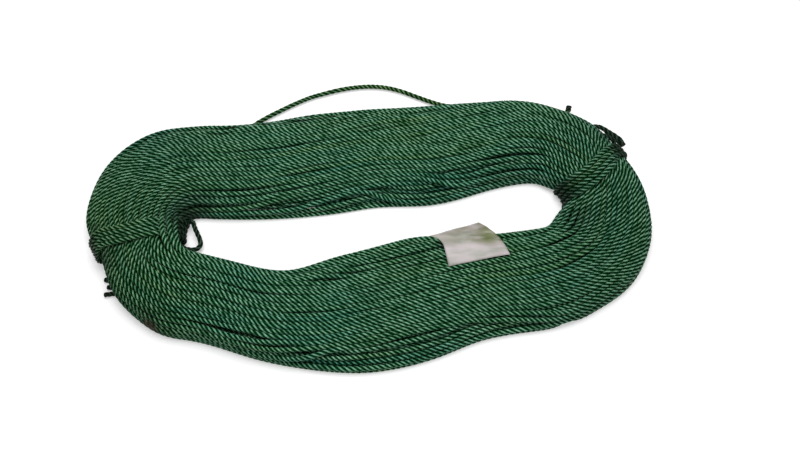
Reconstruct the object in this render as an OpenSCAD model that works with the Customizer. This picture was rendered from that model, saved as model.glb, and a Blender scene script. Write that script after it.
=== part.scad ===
// Flat oval hank of thin laid cord, held by two cord ties, with one slack turn and a paper label.
// Millimetres, +Z up.  The hank lies on Z = 0 with its long axis along X.

/* [Cord] */
// Diameter of the laid cord
cord_d = 4; // [3:0.25:4.5]
// Turns in the whole hank
turns = 104; // [90:1:130]
// Share of the bundle's cross-section that is cord and not air
packing = 0.82; // [0.78:0.01:0.9]

/* [Outer turns] */
// Most turns that are drawn one by one over the inner ones
most_loops = 22; // [12:1:24]
// Least clear gap between neighbouring outer turns
turn_gap = 0.65; // [0.65:0.05:1]
// Height of the lowest outer turn above the underside of the hank
foot_gap = 1; // [0.8:0.1:1.6]

/* [Ties] */
// Diameter of the cord that the ties are made of
tie_d = 4; // [3:0.25:4.5]
// Wraps in the left tie
left_wraps = 4; // [2:1:4]
// Wraps in the right tie
right_wraps = 4; // [2:1:4]
// Clear gap between neighbouring wraps
wrap_gap = 0.6; // [0.6:0.05:1]
// Slack between the wraps and the hank in the eye
eye_slack = 1; // [0:0.1:2]
// How far the left tie's slack bight stands out into the eye
bight_reach = 12; // [8:1:16]
// How far the right tie's slack loop lies along the back run
loop_reach = 20; // [14:1:24]
// Width of that loop across the run
loop_width = 15; // [12:1:18]
// Length of the left tie's longest cut tail outside the hank
left_tail = 9; // [6:1:14]
// Length of these tails that is tucked under the hank
left_tuck = 8; // [5:1:9]
// Length of the right tie's cut tails outside the wraps
right_tail = 9; // [6:1:12]

/* [Label] */
// Length of the paper label along the run
label_l = 48; // [30:1:60]
// Part of the way over the run that the label covers
label_cover = 0.26; // [0.15:0.01:0.3]
// Thickness of the label with its folds
label_t = 0.5; // [0.3:0.1:1]
// Height of the label's curled edge over the turns
label_curl = 6; // [2:0.5:8]

/* [Fits] */
// Clear gap between pieces that lie on each other
seat_gap = 0.3; // [0.2:0.05:0.4]

/* [Hidden] */

cord_green = [0.08, 0.36, 0.2];
core_green = [0.05, 0.24, 0.14];
olive_green = [0.2, 0.34, 0.12];
tail_black = [0.05, 0.07, 0.05];
paper_grey = [0.8, 0.81, 0.84];

// Stations round the hank, against the clock from the right end: the bundle's middle in X and Y,
// its width, and how far its underside is lifted where it lies on a tie.
STATIONS = [
    [183, -10, 75, 2],
    [184, 10, 72, 4.5],
    [176, 33, 68, 6],
    [161, 51, 70, 4.5],
    [140, 62, 70, 2],
    [92, 62, 82, 0],
    [46, 56, 92, 0],
    [0, 53, 91, 0],
    [-38, 48, 93, 0],
    [-80, 42, 89, 0],
    [-116, 39, 85, 0],
    [-139, 38, 82, 0],
    [-158, 34, 84, 1.5],
    [-176.5, 16.5, 82, 3.5],
    [-182, -5, 78, 4.5],
    [-176.5, -30, 69, 6],
    [-164, -51, 66, 5],
    [-149, -62, 66, 2.5],
    [-119, -72, 68, 0],
    [-66, -84, 72, 0],
    [-12, -80, 94, 0],
    [43, -68, 99, 0],
    [98, -59, 85, 0],
    [155, -45, 76, 0],
    [174, -28, 75, 0],
];
RING = len(STATIONS);

// Stations of the ties, and the station where the outer turns start and end
RIGHT_TIE = 2;
LEFT_TIE = 15;
SEAM = 10;

// Slack turn behind the back run, from where it leaves the outer turns to its cut end
LOOSE_ROUTE = [
    [-103, 83, 3], [-95, 88, 3], [-87, 93.5, 3], [-78, 99, 3], [-66, 106, 3], [-53, 112.5, 3],
    [-40, 117, 3], [-28, 120.5, 3], [-15, 123, 3], [-2, 124, 3], [11, 123, 3], [24, 119.5, 3],
    [37, 114, 3], [50, 108.5, 3], [62, 104.5, 3], [76, 103, 3], [90, 103, 3], [104, 102.5, 3],
    [120, 101, 3], [136, 98.5, 3], [150, 95.5, 3.5], [159, 94.5, 5], [166, 97, 8],
];

// Left tails: where each comes out under the hank, its heading in degrees and its share of the length
LEFT_TAILS = [[-197, -55.5, 172, 0.7], [-195, -60.5, 174, 0.6], [-191, -66, 180, 1]];

// Middle of the label round the hank, counted in stations
LABEL_AT = 21.75;
// Part of the way over the run, from the eye, where the label's curled edge starts
LABEL_FROM = 0.12;

// The bundle's section is an arch, |x/a|^n + (z/h)^n = 1, that stands on a flat foot.
ARCH_POWER = 2.6;
ARCH_FILL = 0.85;
ARCH_STEPS = 28;
CORE_STEPS = 16;
WOUND_SIDES = 6;
FREE_SIDES = 8;

cord_r = cord_d / 2;
tie_r = tie_d / 2;
bundle_area = turns * PI * cord_r * cord_r / packing;

function unit(v) = v / norm(v);
function lerp(a, b, t) = a + (b - a) * t;
function flat(v) = [v.x, v.y, 0];
function last(list) = list[len(list) - 1];

// ---- Ring of stations ----
function station(i) = STATIONS[(i % RING + RING) % RING];
function middle(i) = flat(station(i));
function along(i) = unit(middle(i + 1) - middle(i - 1));
function outward(i) = [along(i).y, -along(i).x, 0];
function foot(i) = station(i)[3];
function crown(i) = foot(i) + bundle_area / (ARCH_FILL * station(i)[2]);

// ---- Arch of the section, from the eye over the crown to the outside ----
function arch(a, h, t) =
    [-sign(cos(t)) * a * pow(abs(cos(t)), 2 / ARCH_POWER), h * pow(max(sin(t), 0), 2 / ARCH_POWER)];
function arch_points(a, h, steps) = [for (k = [0:steps]) arch(a, h, 180 * k / steps)];
function lengths(p) =
    [for (k = 0, s = 0; k < len(p); k = k + 1, s = s + (k < len(p) ? norm(p[k] - p[k - 1]) : 0)) s];
function at_length(p, run, s) =
    let (k = max([for (j = [0:len(p) - 2]) if (run[j] <= s + 0.0001) j]))
    lerp(p[k], p[k + 1], (s - run[k]) / (run[k + 1] - run[k]));

// Path of the cord's middle over the section at each station
function cord_foot(i) = foot(i) + cord_r + foot_gap;
function cord_rise(i) = crown(i) - cord_r - cord_foot(i);
function cord_span(i) = station(i)[2] / 2 - cord_r;
ARCHES = [for (i = [0:RING - 1]) arch_points(cord_span(i), cord_rise(i), ARCH_STEPS)];
RUNS = [for (p = ARCHES) lengths(p)];
function half_turn(i) =
    acos(unit(middle(i + 1) - middle(i)) * unit(middle(i) - middle(i - 1))) / 2;
shortest_arch = min([for (i = [0:RING - 1]) last(RUNS[i]) * cos(half_turn(i))]);
loops = min(most_loops, floor(shortest_arch / (cord_d + turn_gap)));

// A place over the run: i counts stations, part goes from 0 at the eye to 1 outside
function over(i, part) =
    let (k = (i % RING + RING) % RING, q = at_length(ARCHES[k], RUNS[k], part * last(RUNS[k])))
    middle(k) + outward(k) * q.x + [0, 0, cord_foot(k) + q.y];
function skin(u, part) = lerp(over(floor(u), part), over(floor(u) + 1, part), u - floor(u));
function skin_normal(u, part) =
    unit(cross(skin(u, part + 0.01) - skin(u, part - 0.01), skin(u + 0.05, part) - skin(u - 0.05, part)));
function lifted(u, part, by) = skin(u, part) + skin_normal(u, part) * by;

// ---- Tube swept along a path, one ring of corners at each point ----
function heading(p, k) = unit(p[min(k + 1, len(p) - 1)] - p[max(k - 1, 0)]);
function carried(v, t) = unit(v - t * (v * t));
function sides_of(p, start) =
    [for (k = 0, v = carried(start, heading(p, 0)); k < len(p);
        k = k + 1, v = k < len(p) ? carried(v, heading(p, k)) : v) v];
function ring_points(p, r, n, start) =
    let (side = sides_of(p, start))
    [for (k = [0:len(p) - 1])
        let (t = heading(p, k), v = side[k], w = cross(t, v))
        for (j = [0:n - 1]) p[k] + r * (cos(360 * j / n) * v + sin(360 * j / n) * w)];
function wall_faces(rings, n) =
    [for (k = [0:rings - 2], j = [0:n - 1])
        let (a = k * n + j, b = k * n + (j + 1) % n)
        for (f = [[a, b + n, b], [a, a + n, b + n]]) f];
function cap_faces(first, n, turned) =
    [for (j = [1:n - 2])
        turned ? [first, first + j + 1, first + j] : [first, first + j, first + j + 1]];

module tube(p, d, n, start = [0, 0, 1]) {
    polyhedron(
        points = ring_points(p, d / 2, n, start),
        faces = concat(
            wall_faces(len(p), n),
            cap_faces(0, n, false),
            cap_faces((len(p) - 1) * n, n, true)));
}

// Least clear gap between a wound tube and its own next turn
function point_gap(q, a, b) =
    let (t = max(0, min(1, ((q - a) * (b - a)) / ((b - a) * (b - a)))))
    norm(q - lerp(a, b, t));
function least_gap(p, d, per_turn) =
    min([for (j = [0:len(p) - 1], k = [j + floor(per_turn / 2):j + floor(per_turn * 3 / 2)])
        if (k < len(p) - 1) point_gap(p[j], p[k], p[k + 1])]) - d;

// ---- Inner turns: the plain core of the bundle ----
function core_span(i) = cord_span(i) - cord_r - seat_gap;
function core_rise(i) = crown(i) - cord_d - seat_gap - foot(i);
function core_ring(i) =
    [for (q = arch_points(core_span(i), core_rise(i), CORE_STEPS))
        middle(i) + outward(i) * q.x + [0, 0, foot(i) + q.y]];

module core() {
    n = CORE_STEPS + 1;
    points = [for (i = [0:RING - 1], p = core_ring(i)) p];
    faces = [for (i = [0:RING - 1], j = [0:n - 1])
        let (a = i * n + j, b = i * n + (j + 1) % n, c = (a + n) % (RING * n), e = (b + n) % (RING * n))
        for (f = [[a, e, b], [a, c, e]]) f];
    polyhedron(points = points, faces = faces);
}

module inner_turns() {
    color(core_green)
    difference() {
        core();
        tube(LEAD_IN, cord_d + 2 * seat_gap, WOUND_SIDES);
    }
}

// ---- Outer turns: one cord that winds from the eye over the crown to the outside ----
// It winds with the clock from the seam.  It comes out of a slot in the inner turns, and its other
// end runs on into the slack turn.
steps = RING * loops;
seam_run = unit(middle(SEAM - 1) - middle(SEAM));
function wound(j) = over(SEAM - j + RING * (loops + 1), j / steps);
wound_end = wound(steps) + seam_run * cord_d;
// Way out of the inner turns, in cord diameters before the first wound point and aside from it
LEAD_STEPS = [[6, 1.6], [4.5, 1.6], [2.8, 0.8], [1.2, 0.1]];
lead_points = [for (q = LEAD_STEPS) wound(0) - seam_run * q.x * cord_d + outward(SEAM) * q.y * cord_d];
LEAD_IN = concat(lead_points, [wound(0)]);
OUTER_PATH = concat(lead_points, [for (j = [0:steps]) wound(j)], [wound_end]);

module outer_turns() {
    color(cord_green) tube(OUTER_PATH, cord_d, WOUND_SIDES);
}

// ---- Loose turn: the slack turn behind the back run and its cut end ----
module loose_turn() {
    color(olive_green)
    tube(concat([wound_end, wound_end + seam_run * cord_d], LOOSE_ROUTE), cord_d, FREE_SIDES);
}

// ---- Ties: a cord wound round the whole bundle, under it too ----
tie_foot = tie_r + seat_gap;
tie_corner = 0.75 * tie_d;
// The wraps lie on many turns, so their gap is wider than that between two flat pieces.
wrap_seat = 1.5 * seat_gap;
tie_off = cord_r + tie_r + wrap_seat;
corner_in = tie_corner * (1 - cos(45));
// Section path of a tie: from the middle of the foot round the outside, the crown and the eye's side
function tie_section(i) =
    let (a = cord_span(i) + tie_off, h = cord_rise(i) + tie_off, z = cord_foot(i), e = a + eye_slack,
        low = tie_foot, mid = tie_foot + corner_in, high = tie_foot + tie_corner)
    concat(
        [[0, low], [a - tie_corner, low], [a - corner_in, mid], [a, high]],
        [for (q = arch_points(a, h, 16)) [-q.x * (q.x > 0 ? e / a : 1), z + q.y]],
        [[-e, high], [-e + corner_in, mid], [-e + tie_corner, low]]);
TIE_RINGS = 24;
tie_pitch = tie_d + wrap_gap;
function tie_corner_of(i, k) =
    let (q = tie_section(i)[k % TIE_RINGS])
    middle(i) + outward(i) * q.x + [0, 0, q.y];
// Wraps lie in parallel planes, side by side along the run.
function tie_point(i, k, shift) =
    let (
        a = tie_corner_of(i, k),
        b = tie_corner_of((i + (shift < 0 ? -1 : 1) + RING) % RING, k),
        t = shift / ((b - a) * along(i)))
    lerp(a, b, t);
function tie_wraps(i, wraps, from) =
    [for (j = [0:wraps * TIE_RINGS])
        tie_point(i, from + j, (j / TIE_RINGS - wraps / 2) * tie_pitch)];
// Both ends run on straight by one diameter.
function first_heading(p) = unit(p[1] - p[0]);
function last_heading(p) = unit(last(p) - p[len(p) - 2]);
function run_on(p, d) = concat([p[0] - first_heading(p) * d], p, [last(p) + last_heading(p) * d]);
function tie_path(i, wraps, from) = run_on(tie_wraps(i, wraps, from), tie_d);
// The left tie starts and ends on the eye's side, heading down; the right one outside, heading up.
EYE_SIDE = 19;
OUTER_SIDE = 4;
LEFT_PATH = tie_path(LEFT_TIE, left_wraps, EYE_SIDE);
RIGHT_PATH = tie_path(RIGHT_TIE, right_wraps, OUTER_SIDE);

module left_tie() {
    color(cord_green) tube(LEFT_PATH, tie_d, WOUND_SIDES, [1, 0, 0]);
}

module right_tie() {
    color(cord_green) tube(RIGHT_PATH, tie_d, WOUND_SIDES, [1, 0, 0]);
}

// ---- Free ends and bights of the ties ----
UP = [0, 0, 1];
// A curve's handles reach further out than the curve itself.
HANDLE = 1.3;
function curve(a, b, c, e, n) =
    [for (k = [0:n])
        let (t = k / n, u = 1 - t)
        a * u * u * u + b * 3 * u * u * t + c * 3 * u * t * t + e * t * t * t];

// The left tie's slack: it leaves the last wrap downwards, lies out in the eye and comes back from above.
module left_tie_bight() {
    eye = -outward(LEFT_TIE) * bight_reach * HANDLE;
    aside = along(LEFT_TIE) * tie_d;
    a = last(LEFT_PATH) + last_heading(LEFT_PATH) * tie_r;
    b = LEFT_PATH[0] - first_heading(LEFT_PATH) * tie_r;
    handle_a = a + last_heading(LEFT_PATH) * tie_r + eye + aside;
    handle_b = b + UP * tie_d + eye + 3 * aside;
    color(cord_green)
    tube(concat([last(LEFT_PATH)], curve(a, handle_a, handle_b, b, 10), [LEFT_PATH[0]]),
        tie_d, FREE_SIDES, along(LEFT_TIE));
}

// The left tie's cut tails, which come out under the hank's outer edge
module left_tie_tails() {
    color(tail_black)
    for (q = LEFT_TAILS)
        translate([q.x, q.y, tie_foot]) rotate([0, 90, q.z])
        translate([0, 0, -left_tuck]) cylinder(h = left_tuck + q[3] * left_tail, d = tie_d, $fn = 24);
}

// The right tie's slack loop, which lies along the back run and ends in a cut tail over the wraps
function beside(p, out, run, up) =
    p + outward(RIGHT_TIE) * out + along(RIGHT_TIE) * run + [0, 0, up];
module right_tie_bight() {
    from = last(RIGHT_PATH);
    a = from + last_heading(RIGHT_PATH) * tie_r;
    b = beside(from, tie_r, tie_r, 2.5 * tie_d);
    handle_a = beside(a, tie_r, loop_reach * HANDLE, 1);
    handle_b = beside(b, -loop_width, loop_reach * HANDLE, -tie_d);
    color(cord_green)
    tube(concat([from], curve(a, handle_a, handle_b, b, 12), [beside(b, 5, -tie_d, 0)]),
        tie_d, FREE_SIDES, along(RIGHT_TIE));
}

// The right tie's other cut tail, below the first
module right_tie_tails() {
    from = RIGHT_PATH[0];
    down = from - first_heading(RIGHT_PATH) * tie_r / 2;
    color(tail_black)
    tube([from, down, beside(from, 0.35 * tie_d, 0, -tie_r), beside(from, tie_d, 0, -1.1 * tie_r),
            beside(from, right_tail, 0, -tie_r)],
        tie_d, FREE_SIDES, along(RIGHT_TIE));
}

// ---- Label: a paper strip over the eye's side of the front run, with its edge curled up ----
LABEL_ROWS = 8;
LABEL_COLUMNS = 6;
label_reach = label_l / norm(middle(floor(LABEL_AT) + 1) - middle(floor(LABEL_AT))) / 2;
function label_lift(k) =
    cord_r + seat_gap + label_curl * pow(max(0, 1 - 2 * k / LABEL_ROWS), 2);
function label_point(c, k, over) =
    lifted(LABEL_AT + label_reach * (2 * c / LABEL_COLUMNS - 1),
        LABEL_FROM + label_cover * k / LABEL_ROWS, label_lift(k) + over);
module label() {
    rows = LABEL_ROWS + 1;
    columns = LABEL_COLUMNS + 1;
    sheet = [for (over = [0, label_t], c = [0:LABEL_COLUMNS], k = [0:LABEL_ROWS]) label_point(c, k, over)];
    top = rows * columns;
    rim = concat(
        [for (k = [0:rows - 2]) [k, k + 1]],
        [for (c = [0:columns - 2]) [c * rows + rows - 1, (c + 1) * rows + rows - 1]],
        [for (k = [rows - 2:-1:0]) [(columns - 1) * rows + k + 1, (columns - 1) * rows + k]],
        [for (c = [columns - 2:-1:0]) [(c + 1) * rows, c * rows]]);
    color(paper_grey)
    polyhedron(
        points = sheet,
        faces = concat(
            [for (c = [0:columns - 2], k = [0:rows - 2])
                let (a = c * rows + k, b = a + rows)
                for (f = [[a, a + 1, b + 1], [a, b + 1, b], [top + a, top + b + 1, top + a + 1],
                    [top + a, top + b, top + b + 1]]) f],
            [for (e = rim) for (f = [[e[0], top + e[1], e[1]], [e[0], top + e[0], top + e[1]]]) f]));
}

echo(loops = loops, shortest_arch = shortest_arch);
echo(str("least gap of outer_turns to itself: ", least_gap(OUTER_PATH, cord_d, RING), " mm"));
echo(str("least gap of left_tie to itself: ", least_gap(LEFT_PATH, tie_d, TIE_RINGS), " mm"));
echo(str("least gap of right_tie to itself: ", least_gap(RIGHT_PATH, tie_d, TIE_RINGS), " mm"));

inner_turns();
outer_turns();
loose_turn();
left_tie();
left_tie_bight();
left_tie_tails();
right_tie();
right_tie_bight();
right_tie_tails();
label();
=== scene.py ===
"""Flat oval hank of laid cord with two cord ties, a slack turn, cut tails and a bare paper label.

The file is laid out as an add-on and is run as a script.  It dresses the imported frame.
"""

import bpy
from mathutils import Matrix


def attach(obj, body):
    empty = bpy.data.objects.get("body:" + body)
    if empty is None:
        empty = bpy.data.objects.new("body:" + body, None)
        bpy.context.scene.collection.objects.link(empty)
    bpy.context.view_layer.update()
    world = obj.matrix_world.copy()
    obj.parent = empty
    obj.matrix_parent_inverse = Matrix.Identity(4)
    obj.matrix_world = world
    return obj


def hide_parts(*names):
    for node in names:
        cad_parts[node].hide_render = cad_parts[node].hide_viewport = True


bl_info = {
    "name": "Laid Cord Hank",
    "version": (1, 0, 0),
    "blender": (4, 5, 0),
    "location": "3D View > Sidebar > Hank",
    "description": "Builds a tied hank of laid cord around its packed frame",
    "category": "Add Mesh",
}

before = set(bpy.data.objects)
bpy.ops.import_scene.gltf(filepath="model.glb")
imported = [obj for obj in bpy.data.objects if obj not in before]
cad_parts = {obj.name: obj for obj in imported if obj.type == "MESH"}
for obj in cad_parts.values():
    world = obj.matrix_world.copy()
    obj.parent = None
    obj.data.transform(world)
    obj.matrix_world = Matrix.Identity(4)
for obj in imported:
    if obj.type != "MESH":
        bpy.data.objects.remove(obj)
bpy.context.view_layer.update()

import math

import bmesh
import bpy
import numpy as np
from mathutils import Vector

MM = 0.001


def linear(code):
    """The linear colour of an sRGB hex value."""
    values = [int(code[k : k + 2], 16) / 255 for k in (0, 2, 4)]
    return tuple(v / 12.92 if v <= 0.04045 else ((v + 0.055) / 1.055) ** 2.4 for v in values)


def length_property(name, description, default, **limits):
    """A length that a user may change."""
    return bpy.props.FloatProperty(
        name=name, description=description, default=default, unit="LENGTH", **limits
    )


def share_property(name, description, default, low, high):
    """A share that a user may change."""
    return bpy.props.FloatProperty(
        name=name, description=description, default=default, min=low, max=high
    )


def count_property(name, description, default, low, high):
    """A number of things that a user may change."""
    return bpy.props.IntProperty(name=name, description=description, default=default, min=low, max=high)


def colour_property(name, description, code):
    """A colour that a user may change, from its sRGB hex value."""
    return bpy.props.FloatVectorProperty(
        name=name, description=description, subtype="COLOR", default=linear(code), min=0, max=1
    )


# ---- Sizes and colours ---------------------------------------------------------------------------


class CordSizes(bpy.types.PropertyGroup):
    diameter: length_property("Diameter", "Diameter of the laid cord", 4 * MM, min=2 * MM, max=6 * MM)
    lay: length_property("Lay", "Length in which a strand goes round once", 12.4 * MM)
    groove: share_property("Groove", "Depth between the strands, over the radius", 0.36, 0, 0.6)
    turns: count_property("Turns", "Turns in the hank", 104, 60, 130)
    packing: share_property("Packing", "Share of the section that is cord", 0.82, 0.7, 0.9)
    wander: length_property("Wander", "How far a turn strays from its row", 0.9 * MM)
    drift: length_property("Drift", "How far neighbouring turns stray together", 1.3 * MM)


class TieSizes(bpy.types.PropertyGroup):
    wraps: count_property("Wraps", "Wraps over the bundle", 4, 2, 6)
    pitch: length_property("Pitch", "Distance between neighbouring wraps", 4.15 * MM)
    bite: length_property("Bite", "How far a wrap presses into the bundle", 0.5 * MM)


class LabelSizes(bpy.types.PropertyGroup):
    length: length_property("Length", "Length of the flat label along the run", 47 * MM)
    width: length_property("Width", "Width of the flat label across the run", 32 * MM)


class HankColours(bpy.types.PropertyGroup):
    # The crest's colour is lighter and greyer than the cord's, a painted highlight, and the groove's is
    # near-black, painted shade.
    crest: colour_property("Crest", "Colour of a strand's crest", "85B699")
    body: colour_property("Body", "Colour of the cord", "145F35")
    groove: colour_property("Groove", "Colour between the strands", "00260B")
    teal: colour_property("Teal", "Filter of the cooler lengths", "90DCF0")
    leaf: colour_property("Leaf", "Filter of the warmer lengths", "FFEBAC")
    earth: colour_property("Earth", "Colour of the brown smudge", "6F5E50")
    # The melted colour also lays the painted shade of the ties and the darker spots beside them.
    melted: colour_property("Melted", "Colour of the melted cut ends", "101A12")
    paper: colour_property("Paper", "Colour of the label", "C8BEC0")
    cloud: colour_property("Cloud", "Colour of the label where it is cloudy", "A5A49B")
    soil: colour_property("Soil", "Filter of the label's soiled edge", "B2B898")
    smear: colour_property("Smear", "Filter of the cord's colour on the label", "D2E6A4")


# ---- Ring of stations: the bundle's middle in X and Y, its width, and how far its foot is lifted --

STATIONS = [
    (0.183, -0.010, 0.075, 0.002),
    (0.184, 0.010, 0.072, 0.0045),
    (0.176, 0.033, 0.068, 0.006),
    (0.161, 0.051, 0.070, 0.0045),
    (0.140, 0.062, 0.070, 0.002),
    (0.092, 0.062, 0.082, 0),
    (0.046, 0.056, 0.092, 0),
    (0, 0.053, 0.091, 0),
    (-0.038, 0.048, 0.093, 0),
    (-0.080, 0.042, 0.089, 0),
    (-0.116, 0.039, 0.085, 0),
    (-0.139, 0.038, 0.082, 0),
    (-0.158, 0.034, 0.084, 0.0015),
    (-0.1765, 0.0165, 0.082, 0.0035),
    (-0.182, -0.005, 0.078, 0.0045),
    (-0.1765, -0.030, 0.069, 0.006),
    (-0.164, -0.051, 0.066, 0.005),
    (-0.149, -0.062, 0.066, 0.0025),
    (-0.119, -0.072, 0.068, 0),
    (-0.066, -0.084, 0.072, 0),
    (-0.012, -0.080, 0.094, 0),
    (0.043, -0.068, 0.099, 0),
    (0.098, -0.059, 0.085, 0),
    (0.155, -0.045, 0.076, 0),
    (0.174, -0.028, 0.075, 0),
]
RIGHT_TIE, SEAM, LEFT_TIE = 2, 10, 15  # stations of the ties, and of where the turns begin and end
ROUND = 150  # places round the ring at which the turns are laid
FOOT_SHARE = 0.72  # how much of a foot's lift is left under the turns' weight
# The bundle's section is a flat arch: the power of its outline, and how much of its box that fills
ARCH_POWER, ARCH_FILL = 2.6, 0.85

# Where the turns lie a little further out or in than the stations have it: station, outer edge and
# edge at the eye, in millimetres outwards from the bundle's middle.  The ties draw the bundle in.
EASED = [
    (2, -1.0, -3.5), (3.8, 2.0, 0.0), (4.6, 2.0, -3.0), (11.5, 2.0, 0.0), (12.5, 2.5, 0.0),
    (13.9, 2.5, 0.0), (15.2, -4.0, -4.5), (15.8, 1.4, 0.0), (16.6, -1.9, 0.0), (17.0, 3.5, 0.0),
    (18.2, -2.8, 0.0), (21.6, -5.0, 0.0), (22.8, -2.0, 0.0), (23.8, 3.5, 0.0),
]  # fmt: skip
EASED_REACH = 30 * MM

# What a tie does to the bundle under it: for the edge at the eye and the outer edge, how far along
# the run from its station it grips, how far it draws the edge in and how far it rounds off the foot
# there, in millimetres; then its reach, and the share by which it squeezes the turns together
GRIPS = (
    (RIGHT_TIE, (-14.0, 6.0, 2.0), (0.0, 5.0, 6.0)),
    (LEFT_TIE, (-3.0, -1.5, 0.0), (0.0, 3.0, 3.0)),
)
GRIP_REACH, GRIP_SQUEEZE = 16 * MM, 0.06

# Partings on top, where a gap shows between two groups of turns: its places as a station and a
# share of the half-width (outwards positive), and how far it opens in millimetres
PARTINGS = [
    ((7.42, -0.05), (7.75, 0.09), (8.25, 0.29), (8.75, 0.35), (9.58, 0.36), (10.67, 0.43), 0.8),
    ((8.75, 0.03), (9.17, 0.10), (9.58, 0.18), 0.45),
    ((7.58, -0.40), (8.08, -0.24), (8.58, -0.15), 0.5),
    ((8.92, -0.24), (9.25, -0.17), (9.58, -0.05), 0.4),
    ((7.92, -0.46), (8.25, -0.36), (8.67, -0.23), 0.8),
    ((7.50, -0.82), (7.92, -0.73), (8.67, -0.59), (9.42, -0.48), (10.75, -0.39), 0.8),
    ((8.67, -0.76), (9.25, -0.68), (9.83, -0.59), (10.83, -0.54), 0.6),
    ((7.42, -0.93), (8.58, -0.93), (10.00, -0.86), 1.0),
    ((6.50, 0.37), (7.00, 0.48), (7.33, 0.59), 0.5),
    ((6.58, -0.53), (6.83, -0.44), (7.25, -0.24), 0.5),
    ((4.58, 0.52), (4.75, 0.59), (5.08, 0.58), (5.42, 0.57), 0.8),
    ((3.67, -0.63), (4.08, -0.51), (4.33, -0.42), (4.67, -0.29), 0.9),
    ((3.83, -0.76), (4.25, -0.66), (4.75, -0.57), (5.25, -0.51), (5.58, -0.47), 1.6),
    ((3.08, -0.86), (4.25, -0.87), (4.58, -0.86), (5.00, -0.84), 1.3),
    ((3.50, -0.96), (4.42, -0.96), (5.17, -0.96), (5.50, -0.96), 1.3),
    ((4.58, -0.40), (4.92, -0.38), (5.67, -0.27), (6.25, -0.14), 0.6),
    ((17.92, 0.98), (18.25, 0.86), (18.58, 0.61), (18.75, 0.40), 0.9),
    ((18.33, 0.98), (18.67, 0.87), (18.92, 0.70), (19.25, 0.45), 0.8),
    ((18.58, 0.94), (18.92, 0.92), (19.33, 0.86), (19.67, 0.78), (20.08, 0.70), 0.6),
    ((19.17, 0.96), (19.92, 0.95), (20.17, 0.93), (20.50, 0.90), (20.92, 0.87), 1.1),
    ((18.67, -0.13), (19.08, -0.28), (19.33, -0.30), 0.5),
    ((19.42, -0.43), (19.67, -0.46), (20.00, -0.59), (20.25, -0.69), 1.2),
    ((19.17, 0.18), (19.33, 0.12), (19.75, 0.08), (20.00, 0.02), (20.25, -0.06), 0.6),
    ((20.42, -0.44), (20.83, -0.46), (21.33, -0.57), 0.7),
    ((20.25, -0.20), (20.50, -0.22), (20.67, -0.23), 0.5),
    ((21.17, 0.29), (21.33, 0.22), (21.58, 0.14), (21.83, 0.12), 0.5),
    ((21.42, 0.80), (21.83, 0.77), (22.08, 0.76), 0.6),
    ((21.30, 0.96), (21.80, 0.96), (22.42, 0.96), 0.8),
    ((21.92, -0.13), (22.25, -0.20), (22.67, -0.20), 0.5),
    ((22.67, -0.58), (23.00, -0.57), (23.75, -0.41), 0.7),
    ((22.75, -0.02), (23.08, -0.02), (23.58, 0.05), 0.6),
]  # fmt: skip
# How far each side moves for a millimetre of opening, as the turns spring back, and how much of
# that the turns on top move once more at the end
PARTED, PARTED_LAST = 0.75, 2.0
# A parting also draws the turns beside it along: how far beyond its ends in metres and how far
# aside it reaches, how far it draws them at most, and the pull home that it works against, as
# shares
DRAWN_BEYOND, DRAWN_ASIDE, DRAWN_MOST, DRAWN_HOME = 35 * MM, 0.16, 0.22, 0.4
# How far an opening runs out beyond its ends, and the shares over which it turns from one side to
# the other and dies away
PARTED_BEYOND, PARTED_TURN, PARTED_FADE = 10 * MM, 0.04, 0.3

# Slack turn behind the back run, from where it leaves the outer turns to its cut end
LOOSE_ROUTE = [
    (-0.103, 0.083, 0.003), (-0.095, 0.088, 0.003), (-0.087, 0.0935, 0.003), (-0.078, 0.099, 0.003),
    (-0.066, 0.106, 0.003), (-0.053, 0.1125, 0.003), (-0.040, 0.117, 0.003),
    (-0.028, 0.1205, 0.003), (-0.015, 0.123, 0.003), (-0.002, 0.124, 0.003), (0.011, 0.123, 0.003),
    (0.024, 0.1195, 0.003), (0.037, 0.114, 0.003), (0.050, 0.1085, 0.003), (0.062, 0.1045, 0.003),
    (0.076, 0.103, 0.003), (0.090, 0.103, 0.003), (0.104, 0.1025, 0.003), (0.120, 0.101, 0.003),
    (0.136, 0.0985, 0.003), (0.148, 0.0945, 0.0035), (0.156, 0.0908, 0.0050),
    (0.1620, 0.0905, 0.0065), (0.1650, 0.0945, 0.0075), (0.1668, 0.0995, 0.0080),
]  # fmt: skip

UP = np.array([0.0, 0.0, 1.0])


# ---- Lines ---------------------------------------------------------------------------------------


def unit(v):
    """The direction of each vector."""
    v = np.asarray(v, float)
    return v / np.maximum(np.linalg.norm(v, axis=-1, keepdims=True), 1e-12)


def distances(line):
    """How far along a line each of its points is."""
    return np.append(0, np.cumsum(np.linalg.norm(np.diff(line, axis=0), axis=1)))


def cubic(a, b, c, e, t):
    """A smooth curve from b to c at the share t of the way, where a comes before b and e after c."""
    bend = (2 * a - 5 * b + 4 * c - e) * t**2
    turn = (3 * b - a - 3 * c + e) * t**3
    return 0.5 * (2 * b + (c - a) * t + bend + turn)


def around(values, knots, total, at):
    """A smooth closed curve through values at knots, read at the distances in at."""
    values = np.asarray(values, float)
    wide = (-1,) + (1,) * (values.ndim - 1)
    gaps = np.diff(np.append(knots, total))
    slopes = (np.roll(values, -1, 0) - values) / gaps.reshape(wide)
    before, after = np.roll(gaps, 1).reshape(wide), gaps.reshape(wide)
    tangents = (np.roll(slopes, 1, 0) * after + slopes * before) / (before + after)
    at = np.asarray(at, float) % total
    k = np.clip(np.searchsorted(knots, at, side="right") - 1, 0, len(values) - 1)
    n = (k + 1) % len(values)
    t = ((at - knots[k]) / gaps[k]).reshape(wide)
    h = gaps[k].reshape(wide)
    return (
        values[k] * (2 * t**3 - 3 * t**2 + 1)
        + tangents[k] * h * (t**3 - 2 * t**2 + t)
        + values[n] * (3 * t**2 - 2 * t**3)
        + tangents[n] * h * (t**3 - t**2)
    )


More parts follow.
